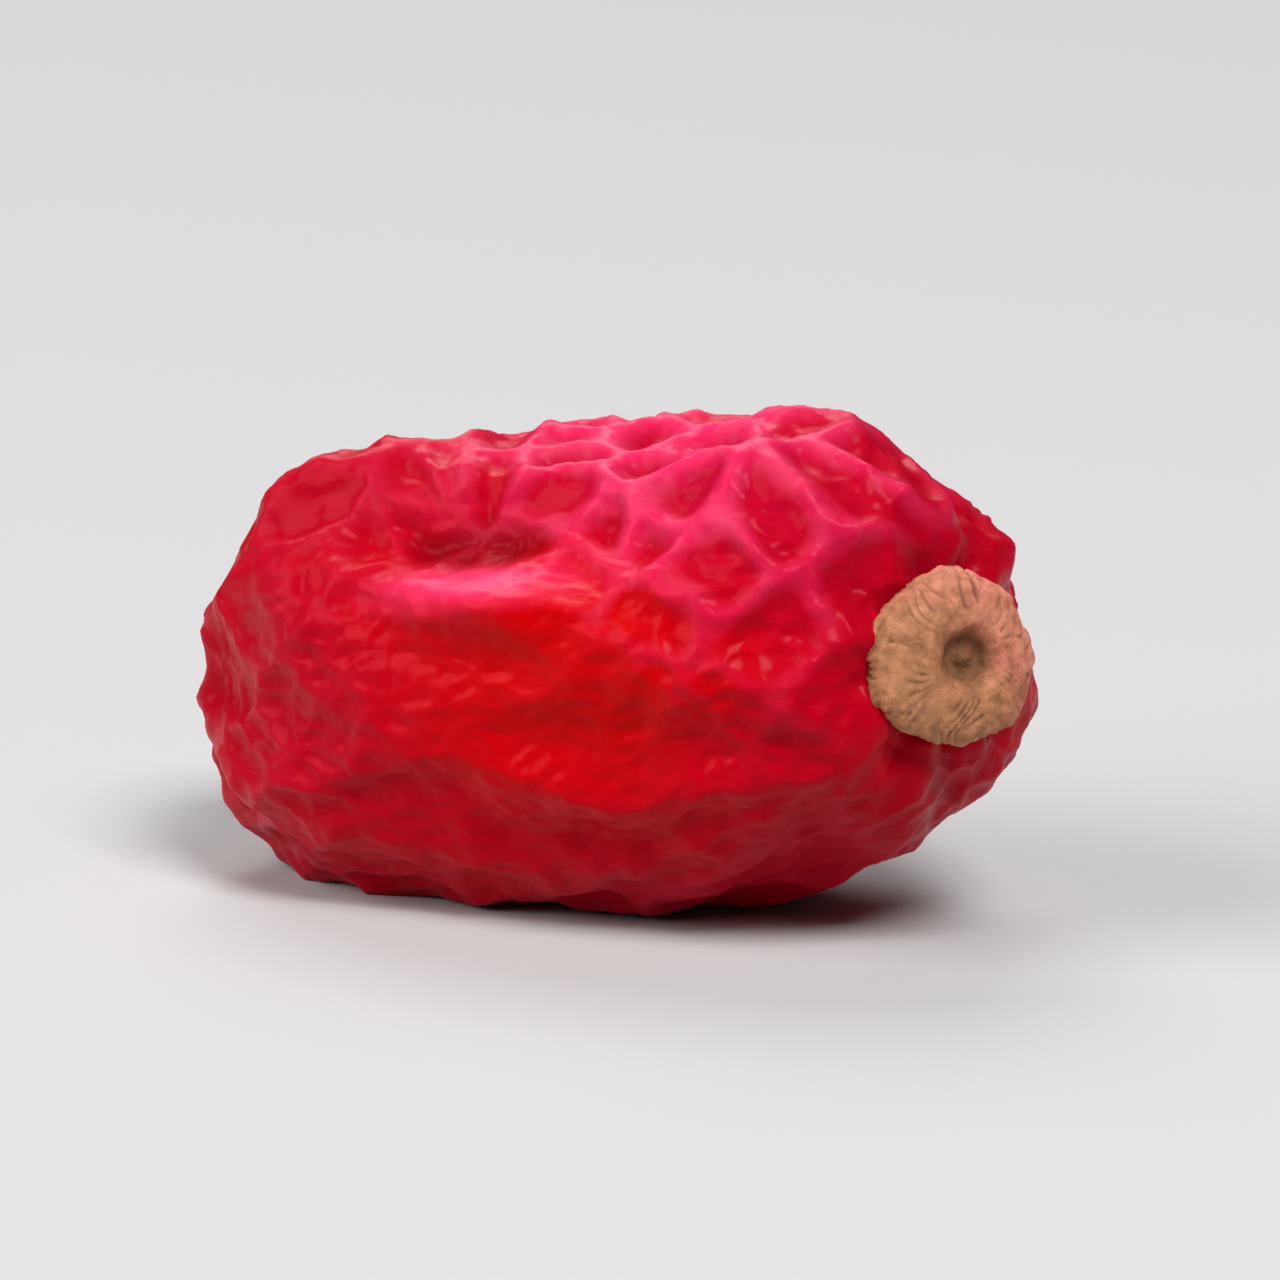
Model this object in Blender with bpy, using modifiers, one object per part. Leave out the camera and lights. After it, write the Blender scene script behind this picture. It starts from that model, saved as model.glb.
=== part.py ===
"""One dried barberry lying on its side.

Three pieces: the wrinkled red berry, the tan stigma disc on its tip, and the stub of its stalk in the dimple at its
base. Metres, +Z up. The berry lies along X with its tip towards +X, and rests on a small flat spot at Z = 0.
"""

import math
import random

import bmesh
import bpy
import numpy as np
from mathutils import Matrix, Vector, kdtree, noise

MM = 0.001

# The berry, plump and straight, before it is wrinkled and bent
LENGTH = 9.2 * MM
WIDTH = 5.4 * MM
HEIGHT = 5.1 * MM
BLUNTNESS = 0.64
TIP_TAPER = 0.03
GRID_ALONG = 40
GRID_ACROSS = 26

# Its bend: both ends turn towards -Y and upwards, and the tip is raised a little further
BEND_ANGLE = math.radians(38)
BEND_ROLL = math.radians(26)
TIP_RAISE = math.radians(9)

# The spot it lies on
FLAT_SINK = 0.15 * MM
CALM_HEIGHT = 0.30 * MM

# Broad ridges and shoulders, and hollows where the flesh shrank: place along the berry, angle round it from +Y towards
# +Z, half length, half width, and how far the skin rises or, below zero, sinks
WAVES = (
    (-0.2 * MM, math.radians(158), 1.5 * MM, 0.32 * MM, 0.27 * MM),
    (0.2 * MM, math.radians(138), 2.8 * MM, 0.55 * MM, -0.30 * MM),
    (0.3 * MM, math.radians(184), 1.3 * MM, 0.50 * MM, -0.16 * MM),
    (-1.0 * MM, math.radians(80), 2.2 * MM, 0.75 * MM, -0.26 * MM),
    (1.0 * MM, math.radians(18), 2.8 * MM, 0.80 * MM, -0.40 * MM),
    (-0.6 * MM, math.radians(-38), 2.0 * MM, 0.75 * MM, -0.28 * MM),
    (3.2 * MM, math.radians(105), 1.0 * MM, 1.3 * MM, 0.30 * MM),
    (-3.2 * MM, math.radians(225), 1.0 * MM, 1.3 * MM, 0.20 * MM),
    (-3.0 * MM, math.radians(115), 1.2 * MM, 1.4 * MM, 0.42 * MM),
)

# The skin's wrinkles are the raised borders between cells. Each net has its number of cells, how much longer a cell
# is than wide, how far its borders wander, its crests' width and height, and the seed of its pattern.
FOLDS = {"cells": 24, "stretch": 3.4, "wander": 0.50 * MM, "width": 0.40 * MM, "height": 0.28 * MM, "seed": 7}
NET = {"cells": 180, "stretch": 1.4, "wander": 0.26 * MM, "width": 0.17 * MM, "height": 0.24 * MM, "seed": 3}

# In both nets: the share of a crest's height that lies below the plump skin, the share of its profile that is pointed,
# how much sparser the cells are at the ends and how far each is shaken from an even spread. A border wanders in bends
# and smaller kinks, and is rounded where borders meet; those sizes are in wanders. A point looks at its
# nearest cells. The seed sets all the bends and kinks.
CREST_ROOT = 0.35
SHARPNESS = 0.35
END_THINNING = 0.25
SHAKE = 0.9
BEND_SIZE = 6
KINK_SIZE = 2
KINK_SHARE = 0.4
MEETING_SIZE = 0.25
NEAR_CELLS = 4
WANDER_SEED = 10

# The net is deepest on top towards the tip, flattest on the front, and uneven all over. Both areas twist round the
# berry towards its tip.
NET_X = 1.9 * MM
NET_ANGLE = math.radians(110)
NET_HALF_LENGTH = 2.8 * MM
NET_HALF_WIDTH = 2.0 * MM
NET_BASE = 0.6
NET_GAIN = 0.7
SMOOTH_X = 0.2 * MM
SMOOTH_ANGLE = math.radians(184)
SMOOTH_HALF_LENGTH = 4.2 * MM
SMOOTH_HALF_WIDTH = 2.2 * MM
SMOOTH_SHARE = 0.90
TWIST = math.radians(6) / MM
PATCH_SIZE = 2.4 * MM
PATCH_SHARE = 0.45

# The ends: where the seat of the disc and the dimple of the stalk lie, and the puckers round both, which start and
# reach their full height at these shares of the seat's or the dimple's radius
TIP_POLE = (1.0, -0.01, -0.04)
BASE_POLE = (-1.0, 0.04, -0.03)
SEAT_RADIUS = 0.93 * MM
SEAT_DEPTH = 0.26 * MM
DIMPLE_RADIUS = 0.60 * MM
DIMPLE_DEPTH = 0.42 * MM
RIM_RADIUS = 0.95 * MM
RIM_WIDTH = 0.40 * MM
RIM_HEIGHT = 0.14 * MM
PUCKERS = 9
PUCKER_SKEW = 1.5
PUCKER_HEIGHT = 0.12 * MM
PUCKER_REACH = 0.8 * MM
PUCKER_START = 0.5
PUCKER_FULL = 1.4
SINK_POWER = 4

# The stigma disc, turned about its own axis, which leans to the front, with an uneven rim
DISC_RADIUS = 0.95 * MM
DISC_LEAN = (0.0, -0.50, 0.0)
DISC_THICKNESS = 0.60 * MM
NECK_RADIUS = 0.52 * MM
NECK_HEIGHT = 0.15 * MM
PIT_RADIUS = 0.29 * MM
PIT_DEPTH = 0.30 * MM
LOBE_DEPTH = 0.03 * MM
LOBES = 3
LOBE_TURN = 2.0
NOTCHES = 7
NOTCH_SHARE = 0.7
NOTCH_SKEW = 1.4
RIPPLES = 5
RIPPLE_SHARE = 0.4
RIPPLE_TURN = 0.7
DISC_STEPS = 48

# The stub of the stalk, broken off unevenly
STUB_RADIUS = 0.28 * MM
STUB_HEIGHT = 0.26 * MM
STUB_RAGGED = 0.07 * MM
STUB_PEAKS = 3
STUB_SPLINTERS = 7
SPLINTER_SHARE = 0.7
SPLINTER_TURN = 1.0
STUB_STEPS = 20

# Both are rooted in the flesh, with a hair's breadth round them
ROOT_DEPTH = 0.35 * MM
CLEARANCE = 0.03 * MM

# Points nearer than this are one, and edges sharper than this are shaded sharp
MERGE_DISTANCE = 0.001 * MM
SHARP_ANGLE = math.radians(50)

# Colours and roughnesses
SKIN_RED = (0.45, 0.006, 0.012)
SKIN_ROUGHNESS = 0.35
CORK_TAN = (0.45, 0.22, 0.11)
CORK_ROUGHNESS = 0.75
STALK_TAN = (0.55, 0.42, 0.20)
STALK_ROUGHNESS = 0.8


def smooth_step(low, high, values):
    """0 below low, 1 above high, and a smooth rise between them."""
    t = np.clip((values - low) / (high - low), 0.0, 1.0)
    return t * t * (3 - 2 * t)


def bump(values, centre, half_width):
    """A rounded bump, 1 at its centre."""
    return np.exp(-(((values - centre) / half_width) ** 2))


def plump(directions):
    """Points of the unwrinkled berry: an ellipsoid with blunt ends, slimmer towards the tip."""
    across = np.maximum(np.hypot(directions[:, 1], directions[:, 2]), 1e-9)
    swell = across ** (BLUNTNESS - 1) * (1 - TIP_TAPER * directions[:, 0])
    half_sizes = np.array((LENGTH, WIDTH, HEIGHT)) / 2
    scales = np.column_stack((np.ones_like(swell), swell, swell))
    return directions * half_sizes * scales


def outward(directions):
    """Unit normals of the plump berry."""
    normals = directions / np.array((LENGTH, WIDTH, HEIGHT))
    return normals / np.linalg.norm(normals, axis=1)[:, None]


def scattered(count, seed):
    """Directions on a golden spiral over a sphere, thinner towards its ends, each one shaken a little."""
    rng = random.Random(seed)
    golden_angle = math.pi * (3 - math.sqrt(5))
    spread = SHAKE / math.sqrt(count)
    found = []
    for i in range(count):
        step = 1 - 2 * (i + 0.5) / count
        x = step * (1 - END_THINNING * (1 - step**2))
        across = math.sqrt(1 - x * x)
        place = Vector((x, across * math.cos(i * golden_angle), across * math.sin(i * golden_angle)))
        shake = Vector([rng.gauss(0, spread) for _ in range(3)])
        found.append((place + shake).normalized())
    return np.array(found)


def border_distance(points, net):
    """How far each point is from the nearest border between the net's cells, rounded where borders meet."""
    squeeze = np.array((1 / net["stretch"], 1.0, 1.0))
    tree = kdtree.KDTree(net["cells"])
    for i, place in enumerate(plump(scattered(net["cells"], net["seed"])) * squeeze):
        tree.insert(place, i)
    tree.balance()
    wander = net["wander"]
    softness = MEETING_SIZE * wander
    offset = Vector((net["seed"], 0, 0))
    distances = []
    for point in points:
        drift = noise.noise_vector(Vector(point) / (BEND_SIZE * wander) + offset) * wander
        drift += noise.noise_vector(Vector(point) / (KINK_SIZE * wander) + offset) * wander * KINK_SHARE
        place = (Vector(point) + drift) * Vector(squeeze)
        (near, _, nearest), *others = tree.find_n(place, NEAR_CELLS)
        gaps = [(away**2 - nearest**2) / (2 * (far - near).length) for far, _, away in others]
        distances.append(-softness * math.log(sum(math.exp(-gap / softness) for gap in gaps)))
    return np.array(distances)


def crests(points, net):
    """The net's relief: a rounded crest on each border, and cells that sink between them."""
    distance = np.maximum(border_distance(points, net), 0) / net["width"]
    crest = (1 - SHARPNESS) * bump(distance, 0, 1) + SHARPNESS * np.exp(-distance)
    return net["height"] * (crest - CREST_ROOT)


def aside(points, angle):
    """How far round the berry each point is from a line along it at this angle."""
    around = np.arctan2(points[:, 2], points[:, 1])
    turn = (around - angle + math.pi) % (2 * math.pi) - math.pi
    return turn * np.hypot(points[:, 1], points[:, 2])


def side_relief(points):
    """How far the dried skin stands above the plump berry along its sides."""
    rise = crests(points, FOLDS)
    for x, angle, half_length, half_width, height in WAVES:
        rise += height * bump(points[:, 0], x, half_length) * bump(aside(points, angle), 0, half_width)
    twist = TWIST * points[:, 0]
    netted = bump(points[:, 0], NET_X, NET_HALF_LENGTH)
    netted *= bump(aside(points, NET_ANGLE + twist), 0, NET_HALF_WIDTH)
    smooth = bump(points[:, 0], SMOOTH_X, SMOOTH_HALF_LENGTH)
    smooth *= bump(aside(points, SMOOTH_ANGLE + twist), 0, SMOOTH_HALF_WIDTH)
    patches = np.array([noise.noise(Vector(point) / PATCH_SIZE) for point in points])
    strength = (NET_BASE + NET_GAIN * netted + PATCH_SHARE * patches) * (1 - SMOOTH_SHARE * smooth)
    return rise + crests(points, NET) * strength


def end_at(pole):
    """The middle of an end of the plump berry and its outward normal."""
    direction = np.array(pole)[None] / np.linalg.norm(pole)
    return plump(direction)[0], outward(direction)[0]


def turn_to(normal):
    """The turn that points a piece's own Z along a normal."""
    return Vector(normal).to_track_quat("Z", "Y").to_matrix()


def polar(points, centre, normal):
    """Distance from an end's middle, and angle round it."""
    local = (points - centre) @ np.array(turn_to(normal))
    return np.linalg.norm(local, axis=1), np.arctan2(local[:, 1], local[:, 0])


def wrinkled(directions):
    """Points of the dried berry, bent but not yet laid down."""
    points = plump(directions)
    normals = outward(directions)
    height = bent(points)[:, 2]
    above_floor = smooth_step(FLAT_SINK, FLAT_SINK + CALM_HEIGHT, height - height.min())
    side = np.ones(len(points))
    puckers = np.zeros(len(points))
    sinks = np.zeros_like(points)
    for pole, inner, depth in (
        (TIP_POLE, SEAT_RADIUS, SEAT_DEPTH),
        (BASE_POLE, DIMPLE_RADIUS, DIMPLE_DEPTH),
    ):
        centre, normal = end_at(pole)
        away, angle = polar(points, centre, normal)
        away_from_end = smooth_step(inner, inner + PUCKER_REACH, away)
        side *= away_from_end
        wave = np.cos(PUCKERS * angle + PUCKER_SKEW * np.sin(angle))
        wave *= smooth_step(PUCKER_START * inner, PUCKER_FULL * inner, away)
        puckers += PUCKER_HEIGHT * wave * (1 - away_from_end)
        sinks -= np.outer(depth * np.exp(-((away / inner) ** SINK_POWER)), normal)
    rim = RIM_HEIGHT * bump(away, RIM_RADIUS, RIM_WIDTH)
    rise = (side_relief(points) * side + puckers + rim) * above_floor
    return bent(points + normals * rise[:, None] + sinks)


def bent(points):
    """Bends a straight berry along X into an arc, then raises its tip."""
    towards = np.array((0.0, -math.cos(BEND_ROLL), math.sin(BEND_ROLL)))
    radius = LENGTH / BEND_ANGLE
    turns = points[:, 0] / radius
    inward = points @ towards
    sideways = points - np.outer(inward, towards)
    sideways[:, 0] = 0
    along = (radius - inward) * np.sin(turns)
    lift = radius - (radius - inward) * np.cos(turns)
    arc = sideways + np.outer(along, (1.0, 0.0, 0.0)) + np.outer(lift, towards)
    return arc @ np.array(Matrix.Rotation(TIP_RAISE, 3, "Y"))


def end_frame(pole, depth, lean=(0.0, 0.0, 0.0)):
    """A frame at the bottom of an end's seat or dimple, its Z pointing out of the berry, or leaning from there."""
    centre, normal = end_at(pole)
    inner, outer = bent(np.array((centre - depth * normal, centre)))
    axis = (outer - inner) / depth + np.array(lean)
    return Matrix.Translation(inner) @ turn_to(axis).to_4x4()


def make_material(name, colour, roughness):
    material = bpy.data.materials.new(name)
    material.use_nodes = True
    shader = material.node_tree.nodes["Principled BSDF"]
    shader.inputs["Base Color"].default_value = (*colour, 1.0)
    shader.inputs["Roughness"].default_value = roughness
    shader.inputs["Metallic"].default_value = 0.0
    return material


def length_along(edge):
    return abs(edge.verts[0].co.x - edge.verts[1].co.x)


def cube_sphere(along, across):
    """A cube with a grid on each face, finer along X, blown up to a unit sphere."""
    bm = bmesh.new()
    bmesh.ops.create_cube(bm, size=2.0)
    lengthwise = [edge for edge in bm.edges if length_along(edge) > 1]
    bmesh.ops.subdivide_edges(bm, edges=lengthwise, cuts=along - 1, use_grid_fill=True)
    crosswise = [edge for edge in bm.edges if length_along(edge) < 1 / along]
    bmesh.ops.subdivide_edges(bm, edges=crosswise, cuts=across - 1, use_grid_fill=True)
    for vertex in bm.verts:
        vertex.co = Vector([math.tan(c * math.pi / 4) for c in vertex.co]).normalized()
    return bm


def make_berry(collection):
    bm = cube_sphere(GRID_ALONG, GRID_ACROSS)
    points = wrinkled(np.array([vertex.co for vertex in bm.verts]))
    floor = points[:, 2].min() + FLAT_SINK
    points[:, 2] = np.maximum(points[:, 2], floor)
    for vertex, point in zip(bm.verts, points):
        vertex.co = point
    mesh = bpy.data.meshes.new("berry")
    bm.to_mesh(mesh)
    bm.free()
    mesh.shade_smooth()
    mesh.materials.append(make_material("berry_skin", SKIN_RED, SKIN_ROUGHNESS))
    berry = bpy.data.objects.new("berry", mesh)
    collection.objects.link(berry)
    return berry


def turned(name, profile, steps, frame, uneven, collection):
    """A solid turned from a profile of (radius, height) pairs, made uneven, then put in its frame."""
    mesh = bpy.data.meshes.new(name)
    corners = [(radius, 0, height) for radius, height in profile]
    mesh.from_pydata(corners, [(i, i + 1) for i in range(len(corners) - 1)], [])
    obj = bpy.data.objects.new(name, mesh)
    collection.objects.link(obj)
    screw = obj.modifiers.new("turn", "SCREW")
    screw.steps = steps
    screw.render_steps = steps
    screw.use_merge_vertices = True
    screw.merge_threshold = MERGE_DISTANCE
    screw.use_normal_calculate = True
    solid = bpy.data.meshes.new_from_object(obj.evaluated_get(bpy.context.evaluated_depsgraph_get()))
    obj.modifiers.clear()
    solid.name = name
    obj.data = solid
    bpy.data.meshes.remove(mesh)
    for vertex in solid.vertices:
        vertex.co = uneven(vertex.co)
    obj.matrix_world = frame
    solid.shade_smooth()
    solid.set_sharp_from_angle(angle=SHARP_ANGLE)
    return obj


def disc_profile(grown=0.0):
    """The disc from the bottom of its pit, over the rim and down the neck to its root."""
    top = NECK_HEIGHT + DISC_THICKNESS
    face = [
        (0.0, top - PIT_DEPTH),
        (0.55 * PIT_RADIUS, top - 0.92 * PIT_DEPTH),
        (0.90 * PIT_RADIUS, top - 0.45 * PIT_DEPTH),
        (1.30 * PIT_RADIUS, top - 0.06 * PIT_DEPTH),
        (0.52 * DISC_RADIUS, top),
        (0.70 * DISC_RADIUS, top - 0.02 * MM),
        (0.86 * DISC_RADIUS, top - 0.08 * MM),
    ]
    if grown:
        face = [(0.0, top + grown), (0.86 * DISC_RADIUS + grown, top + grown)]
    rim = [
        (0.95 * DISC_RADIUS, top - 0.16 * MM),
        (DISC_RADIUS, top - 0.28 * MM),
        (0.99 * DISC_RADIUS, top - 0.38 * MM),
        (0.93 * DISC_RADIUS, top - 0.50 * MM),
        (0.80 * DISC_RADIUS, NECK_HEIGHT),
        (1.12 * NECK_RADIUS, NECK_HEIGHT - 0.02 * MM),
        (NECK_RADIUS, NECK_HEIGHT - 0.10 * MM),
        (NECK_RADIUS, -ROOT_DEPTH),
        (0.0, -ROOT_DEPTH),
    ]
    lowered = [(radius + grown * (radius > 0), height - grown * (height <= NECK_HEIGHT)) for radius, height in rim]
    return face + lowered


def disc_uneven(point):
    """Lobes the disc's rim and waves its face; the neck stays round."""
    angle = math.atan2(point.y, point.x)
    radius = math.hypot(point.x, point.y)
    share = max(0.0, (radius - NECK_RADIUS) / (DISC_RADIUS - NECK_RADIUS))
    wave = math.cos(LOBES * angle + LOBE_TURN)
    wave += NOTCH_SHARE * math.cos(NOTCHES * angle + NOTCH_SKEW * math.sin(angle))
    growth = 1 + share * LOBE_DEPTH * wave / DISC_RADIUS
    ripple = share * RIPPLE_SHARE * LOBE_DEPTH * math.sin(RIPPLES * angle + RIPPLE_TURN)
    return Vector((point.x * growth, point.y * growth, point.z + ripple * (point.z > NECK_HEIGHT)))


def make_disc(collection, cutters):
    frame = end_frame(TIP_POLE, SEAT_DEPTH, DISC_LEAN)
    disc = turned("stigma_disc", disc_profile(), DISC_STEPS, frame, disc_uneven, collection)
    disc.data.materials.append(make_material("stigma_cork", CORK_TAN, CORK_ROUGHNESS))
    cutter = turned("disc_socket", disc_profile(CLEARANCE), DISC_STEPS, frame, disc_uneven, cutters)
    return disc, cutter


def stub_profile(grown=0.0):
    """The stub from the middle of its broken end, over the edge and down to its root."""
    radius = STUB_RADIUS + grown
    return [
        (0.0, STUB_HEIGHT - 0.08 * MM),
        (0.55 * radius, STUB_HEIGHT - 0.04 * MM),
        (0.88 * radius, STUB_HEIGHT),
        (radius, STUB_HEIGHT - 0.05 * MM),
        (1.06 * radius, 0.0),
        (radius, -ROOT_DEPTH - grown),
        (0.0, -ROOT_DEPTH - grown),
    ]


def stub_uneven(point):
    """Roughens the broken end."""
    angle = math.atan2(point.y, point.x)
    ragged = math.cos(STUB_PEAKS * angle)
    ragged += SPLINTER_SHARE * math.cos(STUB_SPLINTERS * angle + SPLINTER_TURN)
    share = smooth_step(0.0, STUB_HEIGHT, point.z)
    radius = math.hypot(point.x, point.y) / STUB_RADIUS
    return point + Vector((0, 0, STUB_RAGGED * ragged * share * radius))


def make_stub(collection, cutters):
    frame = end_frame(BASE_POLE, DIMPLE_DEPTH)
    stub = turned("stalk_stub", stub_profile(), STUB_STEPS, frame, stub_uneven, collection)
    stub.data.materials.append(make_material("stalk_wood", STALK_TAN, STALK_ROUGHNESS))
    cutter = turned("stub_socket", stub_profile(CLEARANCE), STUB_STEPS, frame, Vector, cutters)
    return stub, cutter


def cut(berry, cutter):
    boolean = berry.modifiers.new(cutter.name, "BOOLEAN")
    boolean.operation = "DIFFERENCE"
    boolean.solver = "EXACT"
    boolean.object = cutter
    cutter.hide_render = True
    cutter.display_type = "WIRE"


def settle(pieces, cutters):
    """Moves everything so that the middle of the foot of the whole berry is at the origin."""
    bpy.context.view_layer.update()
    corners = np.array([obj.matrix_world @ vertex.co for obj in pieces for vertex in obj.data.vertices])
    low, high = corners.min(axis=0), corners.max(axis=0)
    foot = Vector(((low[0] + high[0]) / 2, (low[1] + high[1]) / 2, low[2]))
    for obj in (*pieces, *cutters):
        obj.location -= foot


def add_collection(name):
    collection = bpy.data.collections.new(name)
    bpy.context.scene.collection.children.link(collection)
    return collection


def main():
    noise.seed_set(WANDER_SEED)
    for obj in list(bpy.data.objects):
        bpy.data.objects.remove(obj)
    collection = add_collection("dried_barberry")
    cutters = add_collection("cutters")
    berry = make_berry(collection)
    disc, disc_socket = make_disc(collection, cutters)
    stub, stub_socket = make_stub(collection, cutters)
    cut(berry, disc_socket)
    cut(berry, stub_socket)
    settle((berry, disc, stub), (disc_socket, stub_socket))


main()
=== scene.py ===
"""A dried barberry on a pale floor, as it looks from close by.

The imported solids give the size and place. Here the same berry is made again from the same values on a much finer
grid, with the smallest wrinkles, which the solids leave out, a fissured stigma disc and a fibrous stub of stalk.
Metres, +Z up.
"""

import math
import random

import bmesh
import bpy
import numpy as np
from mathutils import Matrix, Vector, kdtree, noise

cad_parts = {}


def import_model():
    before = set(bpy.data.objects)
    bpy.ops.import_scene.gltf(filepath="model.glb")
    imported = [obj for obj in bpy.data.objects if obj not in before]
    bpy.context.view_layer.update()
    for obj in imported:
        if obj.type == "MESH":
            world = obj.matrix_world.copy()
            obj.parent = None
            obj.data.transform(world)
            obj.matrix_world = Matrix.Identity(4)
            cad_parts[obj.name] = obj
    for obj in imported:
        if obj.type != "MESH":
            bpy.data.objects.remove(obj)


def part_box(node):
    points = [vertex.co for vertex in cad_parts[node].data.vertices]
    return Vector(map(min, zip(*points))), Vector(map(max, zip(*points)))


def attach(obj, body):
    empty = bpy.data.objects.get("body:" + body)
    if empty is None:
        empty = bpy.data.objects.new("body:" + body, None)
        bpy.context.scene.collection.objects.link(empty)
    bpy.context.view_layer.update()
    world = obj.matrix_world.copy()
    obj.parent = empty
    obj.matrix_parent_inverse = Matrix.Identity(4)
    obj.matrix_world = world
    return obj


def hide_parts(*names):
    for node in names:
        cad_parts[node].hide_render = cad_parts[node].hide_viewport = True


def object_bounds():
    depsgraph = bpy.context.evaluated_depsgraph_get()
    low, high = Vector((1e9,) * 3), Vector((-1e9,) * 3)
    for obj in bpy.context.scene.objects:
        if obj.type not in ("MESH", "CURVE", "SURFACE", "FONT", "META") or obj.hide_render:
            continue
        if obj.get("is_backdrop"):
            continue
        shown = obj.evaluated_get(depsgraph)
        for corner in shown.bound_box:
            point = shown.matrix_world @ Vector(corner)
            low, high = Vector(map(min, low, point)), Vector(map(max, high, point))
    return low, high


MM = 0.001

# Nothing is divided by less than TINY, and points nearer to each other than MERGE_DISTANCE are one
TINY = 1e-9
MERGE_DISTANCE = 1e-8

# The berry, plump and straight, before it is wrinkled and bent, as in the solids
LENGTH = 9.2 * MM
WIDTH = 5.4 * MM
HEIGHT = 5.1 * MM
BLUNTNESS = 0.64
TIP_TAPER = 0.03
GRID_ALONG = 176
GRID_ACROSS = 100

# Its bend: both ends turn towards -Y and upwards, and the tip is raised a little further
BEND_ANGLE = math.radians(38)
BEND_ROLL = math.radians(26)
TIP_RAISE = math.radians(9)

# The spot it lies on
FLAT_SINK = 0.15 * MM
CALM_HEIGHT = 0.30 * MM

# Broad ridges and shoulders, and hollows where the flesh shrank: place along the berry, angle round it from +Y
# towards +Z, half length, half width, and how far the skin rises or, below zero, sinks
WAVES = (
    (-0.2 * MM, math.radians(158), 1.5 * MM, 0.32 * MM, 0.27 * MM),
    (0.2 * MM, math.radians(138), 2.8 * MM, 0.55 * MM, -0.30 * MM),
    (0.3 * MM, math.radians(184), 1.3 * MM, 0.50 * MM, -0.16 * MM),
    (-1.0 * MM, math.radians(80), 2.2 * MM, 0.75 * MM, -0.26 * MM),
    (1.0 * MM, math.radians(18), 2.8 * MM, 0.80 * MM, -0.40 * MM),
    (-0.6 * MM, math.radians(-38), 2.0 * MM, 0.75 * MM, -0.28 * MM),
    (3.2 * MM, math.radians(105), 1.0 * MM, 1.3 * MM, 0.30 * MM),
    (-3.2 * MM, math.radians(225), 1.0 * MM, 1.3 * MM, 0.20 * MM),
    (-3.0 * MM, math.radians(115), 1.2 * MM, 1.4 * MM, 0.42 * MM),
)

# The skin's wrinkles are the raised borders between cells. Each net has its number of cells, how much longer a cell
# is than wide, how far its borders wander, its crests' width and height, and the seed of its pattern. The solids have
# the first two nets.
FOLDS = {"cells": 24, "stretch": 3.4, "wander": 0.50 * MM, "width": 0.40 * MM, "height": 0.28 * MM, "seed": 7}
NET = {"cells": 180, "stretch": 1.4, "wander": 0.26 * MM, "width": 0.17 * MM, "height": 0.24 * MM, "seed": 3}
FINE = {"cells": 1000, "stretch": 3.2, "wander": 0.12 * MM, "width": 0.065 * MM, "height": 0.055 * MM, "seed": 11}

# In all nets: the share of a crest's height that lies below the plump skin, the share of its profile that is pointed,
# how much sparser the cells are at the ends and how far each is shaken from an even spread. A border wanders in bends
# and smaller kinks, and is rounded where borders meet; those sizes are in wanders. A point looks at its
# nearest cells. The seed sets all the bends and kinks.
CREST_ROOT = 0.35
SHARPNESS = 0.35
END_THINNING = 0.25
SHAKE = 0.9
BEND_SIZE = 6
KINK_SIZE = 2
KINK_SHARE = 0.4
MEETING_SIZE = 0.25
NEAR_CELLS = 4
WANDER_SEED = 10

# The net is deepest on top towards the tip, flattest on the front, and uneven all over. Both areas twist round the
# berry towards its tip. The fine net is only a little weaker on the front, and a grain lies over everything.
NET_X = 1.9 * MM
NET_ANGLE = math.radians(110)
NET_HALF_LENGTH = 2.8 * MM
NET_HALF_WIDTH = 2.0 * MM
NET_BASE = 0.6
NET_GAIN = 0.7
SMOOTH_X = 0.2 * MM
SMOOTH_ANGLE = math.radians(184)
SMOOTH_HALF_LENGTH = 4.2 * MM
SMOOTH_HALF_WIDTH = 2.2 * MM
SMOOTH_SHARE = 0.90
TWIST = math.radians(6) / MM
PATCH_SIZE = 2.4 * MM
PATCH_SHARE = 0.45
FINE_SMOOTH_SHARE = 0.35
GRAIN_SIZE = 0.09 * MM
GRAIN_HEIGHT = 0.010 * MM

# Areas of colour: a highlight painted along the ridge over the front, a scarlet patch below it, and shade painted
# on the underside, which starts and is full where the skin faces down by these shares
RIDGE_HIGHLIGHT_X = -0.3 * MM
RIDGE_HIGHLIGHT_ANGLE = math.radians(151)
RIDGE_HIGHLIGHT_HALF_LENGTH = 1.4 * MM
RIDGE_HIGHLIGHT_HALF_WIDTH = 0.30 * MM
SCARLET_X = 0.9 * MM
SCARLET_ANGLE = math.radians(174)
SCARLET_HALF_LENGTH = 2.6 * MM
SCARLET_HALF_WIDTH = 1.9 * MM
UNDERSIDE_SHADE_START = 0.30
UNDERSIDE_SHADE_FULL = 0.80

# The ends: where the seat of the disc and the dimple of the stalk lie, and the puckers round both, which start and
# reach their full height at these shares of the seat's or the dimple's radius
TIP_POLE = (1.0, -0.01, -0.04)
BASE_POLE = (-1.0, 0.04, -0.03)
SEAT_RADIUS = 0.93 * MM
SEAT_DEPTH = 0.26 * MM
DIMPLE_RADIUS = 0.60 * MM
DIMPLE_DEPTH = 0.42 * MM
RIM_RADIUS = 0.95 * MM
RIM_WIDTH = 0.40 * MM
RIM_HEIGHT = 0.14 * MM
PUCKERS = 9
PUCKER_SKEW = 1.5
PUCKER_HEIGHT = 0.12 * MM
PUCKER_REACH = 0.8 * MM
PUCKER_START = 0.5
PUCKER_FULL = 1.4
SINK_POWER = 4
ROOT_DEPTH = 0.35 * MM

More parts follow.
